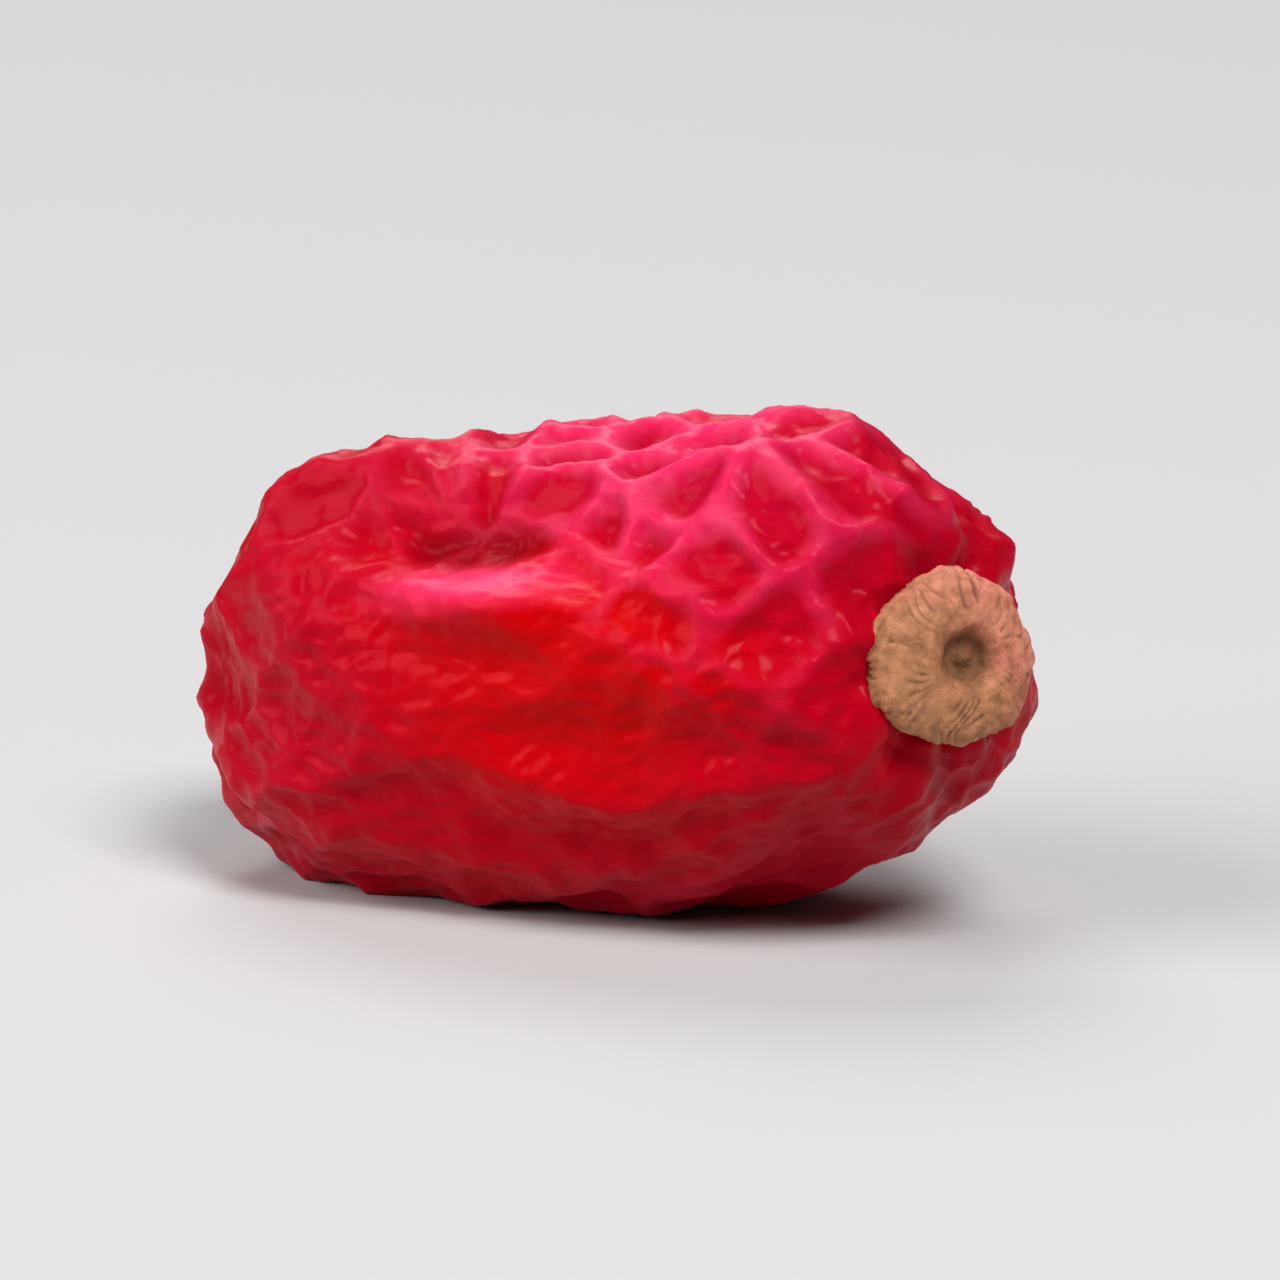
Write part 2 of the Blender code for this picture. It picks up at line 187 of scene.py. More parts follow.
# The stigma disc, turned about its own axis, which leans to the front, with an uneven rim and a pit off its middle
DISC_RADIUS = 0.95 * MM
DISC_LEAN = (0.0, -0.50, 0.0)
DISC_THICKNESS = 0.60 * MM
NECK_RADIUS = 0.52 * MM
NECK_HEIGHT = 0.15 * MM
PIT_RADIUS = 0.29 * MM
PIT_DEPTH = 0.30 * MM
PIT_SHIFT = 0.12 * MM
SHIFT_REACH = 0.9 * DISC_RADIUS
LOBE_DEPTH = 0.03 * MM
LOBES = 3
LOBE_TURN = 2.0
NOTCHES = 7
NOTCH_SHARE = 0.7
NOTCH_SKEW = 1.4
RIPPLES = 5
RIPPLE_SHARE = 0.4
RIPPLE_TURN = 0.7
DISC_STEPS = 240
DISC_SPACING = 0.022 * MM

# Its cork: radial fissures that bend and break off, and two grains. Each noise in the disc and the stub comes from
# a place of its own.
FISSURES = 17
FISSURE_DEPTH = 0.045 * MM
FISSURE_POWER = 8
FISSURE_BEND = 9
FISSURE_BEND_SIZE = 0.5 * MM
FISSURE_BEND_PLACE = 5.0
FISSURE_START = 1.3 * PIT_RADIUS
FISSURE_FULL = 0.6 * DISC_RADIUS
FISSURE_GAP_SIZE = 0.3 * MM
FISSURE_GAP_PLACE = 6.0
FISSURE_GAPS = (-0.25, 0.35)
CORK_HEIGHT = 0.060 * MM
CORK_SIZE = 0.16 * MM
CORK_SHARE = 0.5
CORK_PLACE = 3.0
FINE_CORK_SIZE = 0.4 * CORK_SIZE
FINE_CORK_SHARE = 0.3
FINE_CORK_PLACE = 7.0

# Where its colours lie: the pit's brown, partly painted shade, between two shares of the pit's depth, the wall's
# from this far below the face, and painted light, lighter and pinker, that grows towards one side
PIT_EDGE = 1.2 * PIT_RADIUS
PIT_SHADE_START = 0.15
PIT_SHADE_FULL = 0.9
WALL_TOP = 0.28 * MM
LIT_SIDE_DIRECTION = (0.8, 0.6)
LIT_SIDE_START = -0.7 * DISC_RADIUS

# The stub of the stalk, broken off unevenly, with fibres down its side
STUB_RADIUS = 0.28 * MM
STUB_HEIGHT = 0.26 * MM
STUB_RAGGED = 0.07 * MM
STUB_PEAKS = 3
STUB_SPLINTERS = 7
SPLINTER_SHARE = 0.7
SPLINTER_TURN = 1.0
ROUGH_SIZE = 0.06 * MM
ROUGH_SHARE = 0.8
ROUGH_PLACE = 2.0
FIBRES = 23
FIBRE_DEPTH = 0.014 * MM
FIBRE_BEND = 2
FIBRE_BEND_SIZE = 0.3 * MM
FIBRE_BEND_PLACE = 9.0
FIBRE_START = 0.3
FIBRE_FULL = 0.9
STUB_STEPS = 120
STUB_SPACING = 0.015 * MM

# How often a turned profile's corners are rounded off
ROUNDINGS = 12

# Colours of the skin, the cork and the stalk; a pair is the dark and the light of a grain
SCARLET = (0.53, 0.0006, 0.0012)
CRIMSON = (0.43, 0.0006, 0.011)
MAGENTA = (0.44, 0.0008, 0.026)
# maroon: painted shade in the hollows, which are partly this deep red themselves, and beneath the berry
SHADE_MAROON = (0.085, 0.0003, 0.002)
# the crests' pink, partly their own waxy pink and partly painted sheen
ROSE_AND_SHEEN = (0.74, 0.0200, 0.115)
# a painted highlight along the front
RIDGE_HIGHLIGHT_PINK = (0.84, 0.0340, 0.135)
# pale dusty bloom on the crests, partly painted sheen
BLOOM_AND_SHEEN = (0.72, 0.0900, 0.160)
CORK_TANS = ((0.26, 0.102, 0.040), (0.52, 0.220, 0.096))
# the side of the cork painted lighter and pinker as if lit
LIT_CORK_PINKS = ((0.42, 0.116, 0.064), (0.74, 0.250, 0.170))
FISSURE_BROWN = (0.13, 0.055, 0.022)
# the pit's brown, partly its own and partly painted shade
PIT_BROWN_AND_SHADE = (0.110, 0.045, 0.010)
WALL_BROWN = (0.20, 0.060, 0.028)
STALK_TANS = ((0.36, 0.22, 0.09), (0.66, 0.50, 0.27))
GROOVE_BROWN = (0.20, 0.10, 0.04)
FLOOR_GREY = (0.52, 0.52, 0.52, 1.0)

# Noises in the materials: size, then detail, roughness and squeeze where they aren't the usual ones
PATCHES = (1.8 * MM, 3.0)
SPECKLES = (0.5 * MM, 5.0, 0.65)
GLOSS_SPOTS = (0.25 * MM, 5.0)
CREASES = (0.16 * MM, 8.0, 0.62, (0.3, 1.0, 1.0))
CORK_GRAIN = (0.16 * MM, 8.0, 0.68)
CORK_BLOTCHES = (0.4 * MM,)
CORK_PORES = (0.06 * MM, 8.0, 0.68)
STALK_GRAIN = (0.08 * MM, 6.0, 0.6)
STALK_PORES = (0.02 * MM, 5.0)

# Ramps in the materials: where a mark or a noise starts to count and where it counts in full, and then what it gives
# at both, if that isn't 0 and 1
CRIMSON_RAMP = (-0.40, 0.50)
MAGENTA_RAMP = (0.1, 0.7, 0.0, 0.8)
# the crests' pink, partly painted sheen
CREST_RAMP = (0.25, 1.0)
NETTED_RAMP = (0.0, 0.6, 0.15, 0.95)
# the painted highlight along the front
RIDGE_HIGHLIGHT_RAMP = (0.1, 0.9, 0.0, 0.95)
# pale bloom on the crests, partly painted sheen
BLOOM_AND_SHEEN_RAMP = (0.45, 0.70, 0.0, 0.7)
# the hollows' maroon, partly their own deep red and partly painted shade
HOLLOW_SHADE_RAMP = (0.05, 0.40, 0.0, 0.9)
# faint painted shade where the skin faces down
UNDERSIDE_SHADE_RAMP = (0.0, 1.0, 0.0, 0.08)
GLOSS_RAMP = (0.3, 0.7, 0.30, 0.46)
CORK_RAMP = (0.36, 0.64)
BLOTCH_RAMP = (0.3, 0.7, -0.3, 0.3)
# painted light towards one side of the cork
LIT_SIDE_RAMP = (0.2, 1.0)
FISSURE_RAMP = (0.3, 1.0, 0.0, 0.7)
# the pit's darkening, partly painted shade
PIT_SHADE_RAMP = (0.0, 0.8, 0.0, 0.70)
WALL_RAMP = (0.0, 1.0, 0.0, 0.7)
STALK_RAMP = (0.3, 0.7)
GROOVE_RAMP = (-1.0, 0.2, 0.6, 0.0)

# Relief finer than the meshes: distance and strength
CREASE_RELIEF = (0.035 * MM, 0.6)
PORE_RELIEF = (0.016 * MM, 0.8)
STALK_RELIEF = (0.006 * MM, 0.7)

# The camera looks from in front and a little from the tip's side; azimuth 0 is in front, on -Y, and 90 degrees on +X
VIEW_AZIMUTH = math.radians(30)
VIEW_ELEVATION = math.radians(12)
LENS_MM = 300
SENSOR_MM = 36
FRAME_WIDTH = 14.0 * MM
CLIP_START = 1 * MM

# Soft square lights: name, azimuth, elevation, size and power
LIGHTS = (
    ("key", math.radians(56), math.radians(54), 0.12, 0.86),
    ("top_back", math.radians(-140), math.radians(48), 0.18, 0.46),
    ("left", math.radians(-40), math.radians(33), 0.22, 0.70),
)
LIGHT_DISTANCE = 0.30

# The floor, and how strongly the room beyond it lights things and how bright it looks
FLOOR_HALF = 0.4
ROOM_LIGHT = 0.04
ROOM_LOOK = 0.74


def smooth_step(low, high, values):
    """0 at low, 1 at high, and a smooth rise between them."""
    t = np.clip((values - low) / (high - low), 0.0, 1.0)
    return t * t * (3 - 2 * t)


def bump(values, centre, half_width):
    """A rounded bump, 1 at its centre."""
    return np.exp(-(((values - centre) / half_width) ** 2))


def plump(directions):
    """Points of the unwrinkled berry: an ellipsoid with blunt ends, slimmer towards the tip."""
    across = np.maximum(np.hypot(directions[:, 1], directions[:, 2]), TINY)
    swell = across ** (BLUNTNESS - 1) * (1 - TIP_TAPER * directions[:, 0])
    half_sizes = np.array((LENGTH, WIDTH, HEIGHT)) / 2
    scales = np.column_stack((np.ones_like(swell), swell, swell))
    return directions * half_sizes * scales


def outward(directions):
    """Unit normals of the plump berry."""
    normals = directions / np.array((LENGTH, WIDTH, HEIGHT))
    return normals / np.linalg.norm(normals, axis=1)[:, None]


def scattered(count, seed):
    """Directions on a golden spiral over a sphere, thinner towards its ends, each one shaken a little."""
    rng = random.Random(seed)
    golden_angle = math.pi * (3 - math.sqrt(5))
    spread = SHAKE / math.sqrt(count)
    found = []
    for i in range(count):
        step = 1 - 2 * (i + 0.5) / count
        x = step * (1 - END_THINNING * (1 - step**2))
        across = math.sqrt(1 - x * x)
        place = Vector((x, across * math.cos(i * golden_angle), across * math.sin(i * golden_angle)))
        shake = Vector([rng.gauss(0, spread) for _ in range(3)])
        found.append((place + shake).normalized())
    return np.array(found)


def border_distance(points, net):
    """How far each point is from the nearest border between the net's cells, rounded where borders meet."""
    squeeze = np.array((1 / net["stretch"], 1.0, 1.0))
    tree = kdtree.KDTree(net["cells"])
    for i, place in enumerate(plump(scattered(net["cells"], net["seed"])) * squeeze):
        tree.insert(place, i)
    tree.balance()
    wander = net["wander"]
    softness = MEETING_SIZE * wander
    offset = Vector((net["seed"], 0, 0))
    distances = []
    for point in points:
        drift = noise.noise_vector(Vector(point) / (BEND_SIZE * wander) + offset) * wander
        drift += noise.noise_vector(Vector(point) / (KINK_SIZE * wander) + offset) * wander * KINK_SHARE
        place = (Vector(point) + drift) * Vector(squeeze)
        (near, _, nearest), *others = tree.find_n(place, NEAR_CELLS)
        gaps = [(away**2 - nearest**2) / (2 * (far - near).length) for far, _, away in others]
        distances.append(-softness * math.log(sum(math.exp(-gap / softness) for gap in gaps)))
    return np.maximum(np.array(distances), 0)


def crests(points, net):
    """How close each point is to a crest of the net, from 0 in a cell to 1 on the crest."""
    distance = border_distance(points, net) / net["width"]
    return (1 - SHARPNESS) * bump(distance, 0, 1) + SHARPNESS * np.exp(-distance)


def aside(points, angle):
    """How far round the berry each point is from a line along it at this angle."""
    around = np.arctan2(points[:, 2], points[:, 1])
    turn = (around - angle + math.pi) % (2 * math.pi) - math.pi
    return turn * np.hypot(points[:, 1], points[:, 2])


def area(points, x, angle, half_length, half_width):
    """An area of the skin with soft edges, 1 in its middle."""
    return bump(points[:, 0], x, half_length) * bump(aside(points, angle), 0, half_width)


def noise_at(points, size, place=0.0):
    """Smooth noise from about -1 to 1, with features of this size, from this place in its pattern."""
    shift = Vector((place, place, place))
    return np.array([noise.noise(Vector(point) / size + shift) for point in points])


def end_at(pole):
    """The middle of an end of the plump berry and its outward normal."""
    direction = np.array(pole)[None] / np.linalg.norm(pole)
    return plump(direction)[0], outward(direction)[0]


def turn_to(normal):
    """The turn that points a piece's own Z along a normal."""
    return Vector(normal).to_track_quat("Z", "Y").to_matrix()


def polar(points, centre, normal):
    """Distance from an end's middle, and angle round it."""
    local = (points - centre) @ np.array(turn_to(normal))
    return np.linalg.norm(local, axis=1), np.arctan2(local[:, 1], local[:, 0])


def bent(points):
    """Bends a straight berry along X into an arc, then raises its tip."""
    towards = np.array((0.0, -math.cos(BEND_ROLL), math.sin(BEND_ROLL)))
    radius = LENGTH / BEND_ANGLE
    turns = points[:, 0] / radius
    inward = points @ towards
    sideways = points - np.outer(inward, towards)
    sideways[:, 0] = 0
    along = (radius - inward) * np.sin(turns)
    lift = radius - (radius - inward) * np.cos(turns)
    arc = sideways + np.outer(along, (1.0, 0.0, 0.0)) + np.outer(lift, towards)
    return arc @ np.array(Matrix.Rotation(TIP_RAISE, 3, "Y"))


def end_frame(pole, depth, foot, lean=(0.0, 0.0, 0.0)):
    """A frame at the bottom of an end's seat or dimple, its Z pointing out of the berry, or leaning from there."""
    centre, normal = end_at(pole)
    inner, outer = bent(np.array((centre - depth * normal, centre)))
    axis = (outer - inner) / depth + np.array(lean)
    return Matrix.Translation(Vector(inner) - foot) @ turn_to(axis).to_4x4()


def ends_relief(points):
    """How clear of both ends the skin is, how far it puckers round them, and how it sinks into seat and dimple."""
    clear = np.ones(len(points))
    puckers = np.zeros(len(points))
    sinks = np.zeros_like(points)
    for pole, inner, depth in (
        (TIP_POLE, SEAT_RADIUS, SEAT_DEPTH),
        (BASE_POLE, DIMPLE_RADIUS, DIMPLE_DEPTH),
    ):
        centre, normal = end_at(pole)
        away, angle = polar(points, centre, normal)
        away_from_end = smooth_step(inner, inner + PUCKER_REACH, away)
        clear *= away_from_end
        wave = np.cos(PUCKERS * angle + PUCKER_SKEW * np.sin(angle))
        wave *= smooth_step(PUCKER_START * inner, PUCKER_FULL * inner, away)
        puckers += PUCKER_HEIGHT * wave * (1 - away_from_end)
        sinks -= np.outer(depth * np.exp(-((away / inner) ** SINK_POWER)), normal)
    rim_of_dimple = RIM_HEIGHT * bump(away, RIM_RADIUS, RIM_WIDTH)
    return clear, puckers + rim_of_dimple, sinks


def wrinkled(directions):
    """Points of the dried berry, bent but not yet laid down, and the marks that its colours go by."""
    points = plump(directions)
    normals = outward(directions)
    height = bent(points)[:, 2]
    above_floor = smooth_step(FLAT_SINK, FLAT_SINK + CALM_HEIGHT, height - height.min())

    folds = crests(points, FOLDS)
    net = crests(points, NET)
    fine = crests(points, FINE)
    twist = TWIST * points[:, 0]
    netted = area(points, NET_X, NET_ANGLE + twist, NET_HALF_LENGTH, NET_HALF_WIDTH)
    smooth = area(points, SMOOTH_X, SMOOTH_ANGLE + twist, SMOOTH_HALF_LENGTH, SMOOTH_HALF_WIDTH)
    strength = NET_BASE + NET_GAIN * netted + PATCH_SHARE * noise_at(points, PATCH_SIZE)
    strength *= 1 - SMOOTH_SHARE * smooth
    sides = FOLDS["height"] * (folds - CREST_ROOT) + NET["height"] * (net - CREST_ROOT) * strength
    for x, angle, half_length, half_width, rise in WAVES:
        sides += rise * area(points, x, angle, half_length, half_width)

    clear, ends, sinks = ends_relief(points)
    large = sides * clear + ends
    small = FINE["height"] * (fine - CREST_ROOT) * (1 - FINE_SMOOTH_SHARE * smooth)
    small += GRAIN_HEIGHT * noise_at(points, GRAIN_SIZE)
    relief = (large + small) * above_floor
    marks = {
        "crest": net * strength * clear,
        # how deep the skin lies, by which the hollows are darkened, partly as painted shade
        "depth": -large / MM,
        "netted": netted,
        # a painted highlight along the front
        "ridge_highlight": area(points, RIDGE_HIGHLIGHT_X, RIDGE_HIGHLIGHT_ANGLE, RIDGE_HIGHLIGHT_HALF_LENGTH, RIDGE_HIGHLIGHT_HALF_WIDTH),
        "scarlet": area(points, SCARLET_X, SCARLET_ANGLE, SCARLET_HALF_LENGTH, SCARLET_HALF_WIDTH),
        # painted shade where the skin faces down
        "underside_shade": smooth_step(UNDERSIDE_SHADE_START, UNDERSIDE_SHADE_FULL, -normals[:, 2]),
    }
    return bent(points + normals * relief[:, None] + sinks), marks


def length_along(edge):
    return abs(edge.verts[0].co.x - edge.verts[1].co.x)


def cube_sphere(along, across):
    """A cube with a grid on each face, finer along X, blown up to a unit sphere."""
    bm = bmesh.new()
    bmesh.ops.create_cube(bm, size=2.0)
    lengthwise = [edge for edge in bm.edges if length_along(edge) > 1]
    bmesh.ops.subdivide_edges(bm, edges=lengthwise, cuts=along - 1, use_grid_fill=True)
    crosswise = [edge for edge in bm.edges if length_along(edge) < 1 / along]
    bmesh.ops.subdivide_edges(bm, edges=crosswise, cuts=across - 1, use_grid_fill=True)
    for vertex in bm.verts:
        vertex.co = Vector([math.tan(c * math.pi / 4) for c in vertex.co]).normalized()
    return bm


def make_piece(name, bm, points, marks):
    """An object of a bmesh whose corners are moved to these points, with each mark as an attribute."""
    for vertex, point in zip(bm.verts, points):
        vertex.co = point
    mesh = bpy.data.meshes.new(name)
    bm.to_mesh(mesh)
    bm.free()
    mesh.shade_smooth()
    for mark, values in marks.items():
        layer = mesh.attributes.new(mark, "FLOAT", "POINT")
        layer.data.foreach_set("value", np.asarray(values, dtype=np.float32))
    piece = bpy.data.objects.new(name, mesh)
    bpy.context.scene.collection.objects.link(piece)
    return piece


def make_skin():
    """The berry's skin, and the point that its foot stands on before it is moved into place."""
    bm = cube_sphere(GRID_ALONG, GRID_ACROSS)
    points, marks = wrinkled(np.array([vertex.co for vertex in bm.verts]))
    floor = points[:, 2].min() + FLAT_SINK
    points[:, 2] = np.maximum(points[:, 2], floor)
    low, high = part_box("berry")
    middle = (Vector(points.min(axis=0)) + Vector(points.max(axis=0))) / 2
    foot = Vector((middle.x - (low[0] + high[0]) / 2, middle.y - (low[1] + high[1]) / 2, floor))
    return make_piece("berry_skin", bm, [Vector(point) - foot for point in points], marks), foot


def finely(profile, spacing):
    """A profile with its corners rounded off and its points evenly spaced."""
    points = np.array(profile)
    lengths = np.concatenate(([0.0], np.cumsum(np.linalg.norm(np.diff(points, axis=0), axis=1))))
    count = int(lengths[-1] / spacing)
    places = np.linspace(0, lengths[-1], count)
    line = np.column_stack([np.interp(places, lengths, points[:, k]) for k in range(2)])
    for _ in range(ROUNDINGS):
        line[1:-1] = (line[:-2] + 2 * line[1:-1] + line[2:]) / 4
    return line


def turned(name, profile, steps, spacing, uneven, frame):
    """A fine solid turned from a profile of (radius, height) pairs, made uneven, then put in its frame."""
    bm = bmesh.new()
    vertices = [bm.verts.new((radius, 0, height)) for radius, height in finely(profile, spacing)]
    edges = [bm.edges.new(pair) for pair in zip(vertices, vertices[1:])]
    bmesh.ops.spin(
        bm, geom=vertices + edges, cent=(0, 0, 0), axis=(0, 0, 1), angle=2 * math.pi, steps=steps, use_merge=True
    )
    bmesh.ops.remove_doubles(bm, verts=bm.verts[:], dist=MERGE_DISTANCE)
    bmesh.ops.recalc_face_normals(bm, faces=bm.faces[:])
    points, marks = uneven(np.array([vertex.co for vertex in bm.verts]))
    piece = make_piece(name, bm, points, marks)
    piece.data.transform(frame)
    return piece


def disc_uneven(points):
    """Lobes the rim, waves the face, and gives it radial fissures and a corky grain."""
    x, y, z = points.T
    angle = np.arctan2(y, x)
    radius = np.hypot(x, y)
    share = np.clip((radius - NECK_RADIUS) / (DISC_RADIUS - NECK_RADIUS), 0, 1)
    wave = np.cos(LOBES * angle + LOBE_TURN)
    wave += NOTCH_SHARE * np.cos(NOTCHES * angle + NOTCH_SKEW * np.sin(angle))
    growth = 1 + share * LOBE_DEPTH * wave / DISC_RADIUS
    ripple = share * RIPPLE_SHARE * LOBE_DEPTH * np.sin(RIPPLES * angle + RIPPLE_TURN) * (z > NECK_HEIGHT)

    grain = noise_at(points, CORK_SIZE, CORK_PLACE)
    fine_grain = noise_at(points, FINE_CORK_SIZE, FINE_CORK_PLACE)
    fissure_bend = FISSURE_BEND * noise_at(points, FISSURE_BEND_SIZE, FISSURE_BEND_PLACE)
    fissure = np.cos(FISSURES * angle + fissure_bend) ** FISSURE_POWER
    fissure *= smooth_step(FISSURE_START, FISSURE_FULL, radius)
    fissure *= smooth_step(*FISSURE_GAPS, noise_at(points, FISSURE_GAP_SIZE, FISSURE_GAP_PLACE))
    relief = CORK_HEIGHT * (CORK_SHARE * grain + FINE_CORK_SHARE * fine_grain) - FISSURE_DEPTH * fissure
    outwards = np.column_stack((x, y, z - (NECK_HEIGHT + DISC_THICKNESS / 2)))
    outwards /= np.maximum(np.linalg.norm(outwards, axis=1), TINY)[:, None]
    moved = np.column_stack((x * growth, y * growth, z + ripple)) + outwards * relief[:, None]
    moved[:, 0] += PIT_SHIFT * smooth_step(SHIFT_REACH, PIT_RADIUS, radius) * (z > NECK_HEIGHT)

    top = NECK_HEIGHT + DISC_THICKNESS
    pit_brown_and_shade = smooth_step(top - PIT_SHADE_START * PIT_DEPTH, top - PIT_SHADE_FULL * PIT_DEPTH, z)
    marks = {
        "fissure": fissure,
        # the pit's darkening, partly painted shade
        "pit_brown_and_shade": pit_brown_and_shade * (radius < PIT_EDGE),
        "wall": smooth_step(top - WALL_TOP, NECK_HEIGHT, z) * (radius > PIT_EDGE),
        # painted light: lighter and pinker towards one side
        "lit_side": smooth_step(LIT_SIDE_START, DISC_RADIUS, LIT_SIDE_DIRECTION[0] * x + LIT_SIDE_DIRECTION[1] * y),
    }
    return moved, marks


def make_disc(foot):
    top = NECK_HEIGHT + DISC_THICKNESS
    profile = [
        (0.0, top - 0.62 * PIT_DEPTH),
        (0.22 * PIT_RADIUS, top - 0.70 * PIT_DEPTH),
        (0.48 * PIT_RADIUS, top - 1.02 * PIT_DEPTH),
        (0.70 * PIT_RADIUS, top - 0.92 * PIT_DEPTH),
        (0.94 * PIT_RADIUS, top - 0.45 * PIT_DEPTH),
        (1.30 * PIT_RADIUS, top - 0.06 * PIT_DEPTH),
        (0.52 * DISC_RADIUS, top),
        (0.70 * DISC_RADIUS, top - 0.02 * MM),
        (0.86 * DISC_RADIUS, top - 0.08 * MM),
        (0.95 * DISC_RADIUS, top - 0.16 * MM),
        (DISC_RADIUS, top - 0.28 * MM),
        (0.99 * DISC_RADIUS, top - 0.38 * MM),
        (0.93 * DISC_RADIUS, top - 0.50 * MM),
        (0.80 * DISC_RADIUS, NECK_HEIGHT),
        (1.12 * NECK_RADIUS, NECK_HEIGHT - 0.02 * MM),
        (NECK_RADIUS, NECK_HEIGHT - 0.10 * MM),
        (NECK_RADIUS, -ROOT_DEPTH),
        (0.0, -ROOT_DEPTH),
    ]
    frame = end_frame(TIP_POLE, SEAT_DEPTH, foot, DISC_LEAN)
    return turned("stigma_cork", profile, DISC_STEPS, DISC_SPACING, disc_uneven, frame)


def stub_uneven(points):
    """Roughens the broken end and runs fibres down the side."""
    x, y, z = points.T
    angle = np.arctan2(y, x)
    out = np.hypot(x, y) / STUB_RADIUS
    ragged = np.cos(STUB_PEAKS * angle) + SPLINTER_SHARE * np.cos(STUB_SPLINTERS * angle + SPLINTER_TURN)
    ragged += ROUGH_SHARE * noise_at(points, ROUGH_SIZE, ROUGH_PLACE)
    lift = STUB_RAGGED * ragged * smooth_step(0, STUB_HEIGHT, z) * out
    fibre = np.cos(FIBRES * angle + FIBRE_BEND * noise_at(points, FIBRE_BEND_SIZE, FIBRE_BEND_PLACE))
    growth = 1 + FIBRE_DEPTH * fibre * smooth_step(FIBRE_START, FIBRE_FULL, out) / STUB_RADIUS
    return np.column_stack((x * growth, y * growth, z + lift)), {"fibre": fibre}


def make_stub(foot):
    profile = [
        (0.0, STUB_HEIGHT - 0.08 * MM),
        (0.55 * STUB_RADIUS, STUB_HEIGHT - 0.04 * MM),
        (0.88 * STUB_RADIUS, STUB_HEIGHT),
        (STUB_RADIUS, STUB_HEIGHT - 0.05 * MM),
        (1.06 * STUB_RADIUS, 0.0),
        (STUB_RADIUS, -ROOT_DEPTH),
        (0.0, -ROOT_DEPTH),
    ]
    frame = end_frame(BASE_POLE, DIMPLE_DEPTH, foot)
    return turned("stalk_fibres", profile, STUB_STEPS, STUB_SPACING, stub_uneven, frame)


class Shader:
    """A material's Principled shader and short ways to wire nodes to it."""

    def __init__(self, name):
        self.material = bpy.data.materials.new(name)
        self.material.use_nodes = True
        self.nodes = self.material.node_tree.nodes
        self.links = self.material.node_tree.links
        self.main = self.nodes["Principled BSDF"]

    def put(self, kind, inputs=(), **settings):
        node = self.nodes.new(kind)
        for name, value in settings.items():
            setattr(node, name, value)
        for key, value in dict(inputs).items():
            if isinstance(value, bpy.types.NodeSocket):
                self.links.new(value, node.inputs[key])
            else:
                node.inputs[key].default_value = value
        return node

    def mark(self, name):
        return self.put("ShaderNodeAttribute", attribute_name=name).outputs["Fac"]

    def noise(self, size, detail=4.0, roughness=0.55, squeeze=(1.0, 1.0, 1.0)):
        place = self.put("ShaderNodeTexCoord").outputs["Object"]
        place = self.put("ShaderNodeMapping", {"Vector": place, "Scale": squeeze}).outputs["Vector"]
        inputs = {"Vector": place, "Scale": 1 / size, "Detail": detail, "Roughness": roughness}
        return self.put("ShaderNodeTexNoise", inputs).outputs["Fac"]

    def ramp(self, value, low, high, to_low=0.0, to_high=1.0):
        inputs = {"Value": value, "From Min": low, "From Max": high, "To Min": to_low, "To Max": to_high}
        return self.put("ShaderNodeMapRange", inputs).outputs["Result"]

    def math(self, operation, first, second):
        return self.put("ShaderNodeMath", {0: first, 1: second}, operation=operation).outputs[0]

    def mix(self, share, first, second):
        node = self.put("ShaderNodeMix", data_type="RGBA")
        for socket, value in ((node.inputs[0], share), (node.inputs[6], first), (node.inputs[7], second)):
            if isinstance(value, bpy.types.NodeSocket):
                self.links.new(value, socket)
            else:
                socket.default_value = (*value, 1.0)
        return node.outputs[2]

    def set(self, **inputs):
        for key, value in inputs.items():
            socket = self.main.inputs[key.replace("_", " ")]
            if isinstance(value, bpy.types.NodeSocket):
                self.links.new(value, socket)
            else:
                socket.default_value = value

    def bump(self, height, distance, strength):
        node = self.put("ShaderNodeBump", {"Height": height, "Distance": distance, "Strength": strength})
        self.links.new(node.outputs[0], self.main.inputs["Normal"])


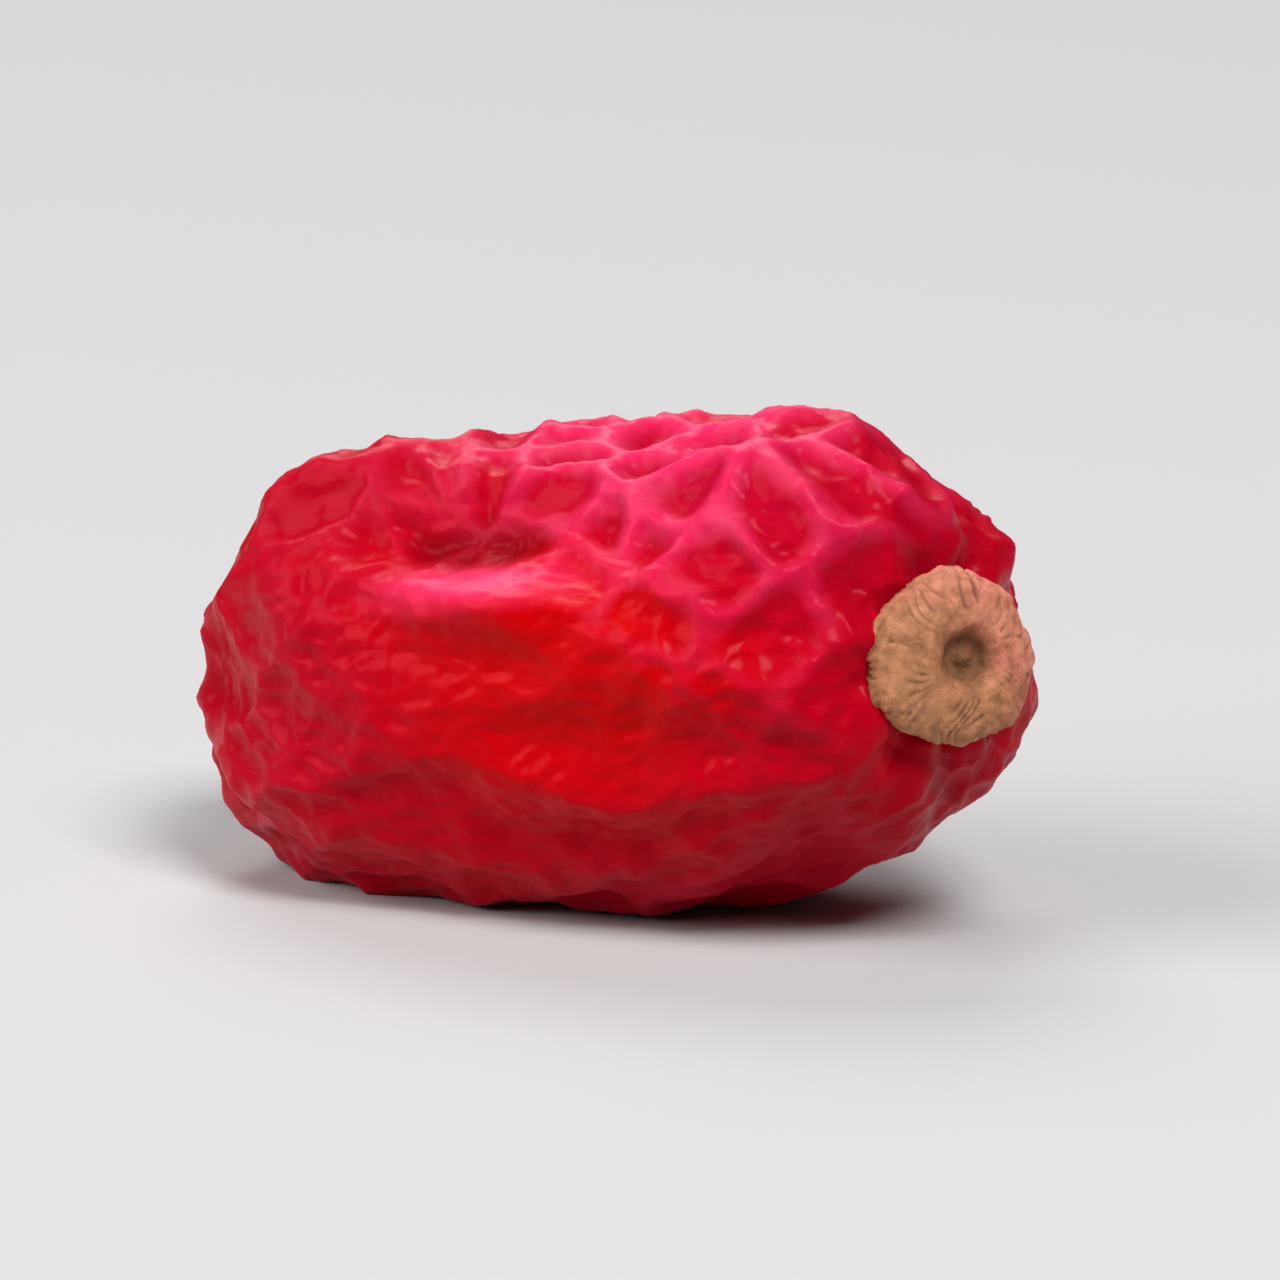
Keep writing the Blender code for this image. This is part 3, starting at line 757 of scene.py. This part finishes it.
def skin_material():
    """Scarlet to crimson skin, magenta beneath the net, pink crests that are partly painted sheen, maroon hollows
    that are partly painted shade, a painted highlight along the front and faint painted shade beneath.
    """
    shader = Shader("berry_skin")
    scarlet = shader.mark("scarlet")
    netted = shader.mark("netted")
    crimson = shader.math("SUBTRACT", shader.noise(*PATCHES), scarlet)
    colour = shader.mix(shader.ramp(crimson, *CRIMSON_RAMP), SCARLET, CRIMSON)
    magenta = shader.math("SUBTRACT", netted, scarlet)
    colour = shader.mix(shader.ramp(magenta, *MAGENTA_RAMP), colour, MAGENTA)
    in_net = shader.ramp(netted, *NETTED_RAMP)
    crest = shader.math("MULTIPLY", shader.ramp(shader.mark("crest"), *CREST_RAMP), in_net)
    # the crests' pink, partly their own and partly painted sheen
    colour = shader.mix(crest, colour, ROSE_AND_SHEEN)
    # a painted highlight along the front
    colour = shader.mix(shader.ramp(shader.mark("ridge_highlight"), *RIDGE_HIGHLIGHT_RAMP), colour, RIDGE_HIGHLIGHT_PINK)
    # pale bloom on the crests, partly dust and partly painted sheen
    bloom_and_sheen = shader.math("MULTIPLY", crest, shader.ramp(shader.noise(*SPECKLES), *BLOOM_AND_SHEEN_RAMP))
    colour = shader.mix(bloom_and_sheen, colour, BLOOM_AND_SHEEN)
    # maroon in the hollows, partly their own deep red and partly painted shade
    colour = shader.mix(shader.ramp(shader.mark("depth"), *HOLLOW_SHADE_RAMP), colour, SHADE_MAROON)
    # faint painted shade where the skin faces down
    colour = shader.mix(shader.ramp(shader.mark("underside_shade"), *UNDERSIDE_SHADE_RAMP), colour, SHADE_MAROON)
    shader.set(Base_Color=colour, Roughness=shader.ramp(shader.noise(*GLOSS_SPOTS), *GLOSS_RAMP), IOR=1.45)
    shader.set(Subsurface_Weight=0.25, Subsurface_Scale=0.3 * MM, Subsurface_Radius=(1.0, 0.12, 0.08))
    shader.set(Coat_Weight=0.04, Coat_Roughness=0.10)
    shader.set(Specular_IOR_Level=0.17, Specular_Tint=(1.0, 0.06, 0.14, 1.0))
    shader.bump(shader.noise(*CREASES), *CREASE_RELIEF)
    return shader.material


def cork_material():
    """Tan cork, painted lighter and pinker towards one side as if lit, with brown fissures, a pit partly painted as
    shade, and a brown wall.
    """
    shader = Shader("stigma_cork")
    grain = shader.ramp(shader.noise(*CORK_GRAIN), *CORK_RAMP)
    blotches = shader.ramp(shader.noise(*CORK_BLOTCHES), *BLOTCH_RAMP)
    # painted light: the cork turns lighter and pinker towards one side
    lit_side = shader.ramp(shader.math("ADD", shader.mark("lit_side"), blotches), *LIT_SIDE_RAMP)
    colour = shader.mix(lit_side, shader.mix(grain, *CORK_TANS), shader.mix(grain, *LIT_CORK_PINKS))
    colour = shader.mix(shader.ramp(shader.mark("fissure"), *FISSURE_RAMP), colour, FISSURE_BROWN)
    # the pit's brown, partly painted shade
    colour = shader.mix(shader.ramp(shader.mark("pit_brown_and_shade"), *PIT_SHADE_RAMP), colour, PIT_BROWN_AND_SHADE)
    colour = shader.mix(shader.ramp(shader.mark("wall"), *WALL_RAMP), colour, WALL_BROWN)
    shader.set(Base_Color=colour, Roughness=0.72, IOR=1.45)
    shader.bump(shader.noise(*CORK_PORES), *PORE_RELIEF)
    return shader.material


def stalk_material():
    """Pale dry fibres with brown grooves between them."""
    shader = Shader("stalk_wood")
    colour = shader.mix(shader.ramp(shader.noise(*STALK_GRAIN), *STALK_RAMP), *STALK_TANS)
    colour = shader.mix(shader.ramp(shader.mark("fibre"), *GROOVE_RAMP), colour, GROOVE_BROWN)
    shader.set(Base_Color=colour, Roughness=0.8, IOR=1.45)
    shader.bump(shader.noise(*STALK_PORES), *STALK_RELIEF)
    return shader.material


def dress(piece, node, material):
    """Gives a piece its material, and has it replace its solid."""
    piece.data.materials.append(material)
    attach(piece, "root")
    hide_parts(node)


def make_floor():
    mesh = bpy.data.meshes.new("floor")
    corners = [(x * FLOOR_HALF, y * FLOOR_HALF, 0) for x, y in ((-1, -1), (1, -1), (1, 1), (-1, 1))]
    mesh.from_pydata(corners, [], [(0, 1, 2, 3)])
    shader = Shader("floor")
    shader.set(Base_Color=FLOOR_GREY, Roughness=0.9, Specular_IOR_Level=0.1)
    mesh.materials.append(shader.material)
    floor = bpy.data.objects.new("floor", mesh)
    bpy.context.scene.collection.objects.link(floor)
    floor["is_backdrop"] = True


def direction(azimuth, elevation):
    """A unit vector from the berry towards a light or the camera."""
    return Vector(
        (
            math.sin(azimuth) * math.cos(elevation),
            -math.cos(azimuth) * math.cos(elevation),
            math.sin(elevation),
        )
    )


def aim(obj, place, target):
    """Puts a light or the camera in its place and points it at the target."""
    obj.location = place
    obj.rotation_mode = "QUATERNION"
    obj.rotation_quaternion = (Vector(target) - Vector(place)).to_track_quat("-Z", "Y")
    bpy.context.scene.collection.objects.link(obj)


def make_lights(target):
    for name, azimuth, elevation, size, power in LIGHTS:
        data = bpy.data.lights.new(name, "AREA")
        data.size = size
        data.energy = power
        place = Vector(target) + direction(azimuth, elevation) * LIGHT_DISTANCE
        aim(bpy.data.objects.new(name, data), place, target)


def make_camera(target):
    data = bpy.data.cameras.new("camera")
    data.lens = LENS_MM
    data.sensor_width = SENSOR_MM
    data.clip_start = CLIP_START
    camera = bpy.data.objects.new("camera", data)
    distance = FRAME_WIDTH * LENS_MM / SENSOR_MM
    aim(camera, Vector(target) + direction(VIEW_AZIMUTH, VIEW_ELEVATION) * distance, target)
    bpy.context.scene.camera = camera


def make_world():
    """A dim white room that looks as pale as the floor past the floor's edge."""
    world = bpy.data.worlds.new("studio")
    world.use_nodes = True
    tree = world.node_tree
    background = tree.nodes["Background"]
    background.inputs["Color"].default_value = (1.0, 1.0, 1.0, 1.0)
    rays = tree.nodes.new("ShaderNodeLightPath")
    strength = tree.nodes.new("ShaderNodeMapRange")
    strength.inputs["To Min"].default_value = ROOM_LIGHT
    strength.inputs["To Max"].default_value = ROOM_LOOK
    tree.links.new(rays.outputs["Is Camera Ray"], strength.inputs["Value"])
    tree.links.new(strength.outputs["Result"], background.inputs["Strength"])
    bpy.context.scene.world = world
    bpy.context.scene.view_settings.view_transform = "Standard"


def main():
    noise.seed_set(WANDER_SEED)
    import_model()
    cad_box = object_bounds()
    skin, foot = make_skin()
    dress(skin, "berry", skin_material())
    dress(make_disc(foot), "stigma_disc", cork_material())
    dress(make_stub(foot), "stalk_stub", stalk_material())
    low, high = cad_box
    middle = [(a + b) / 2 for a, b in zip(low, high)]
    make_floor()
    make_world()
    make_lights(middle)
    make_camera(middle)


main()
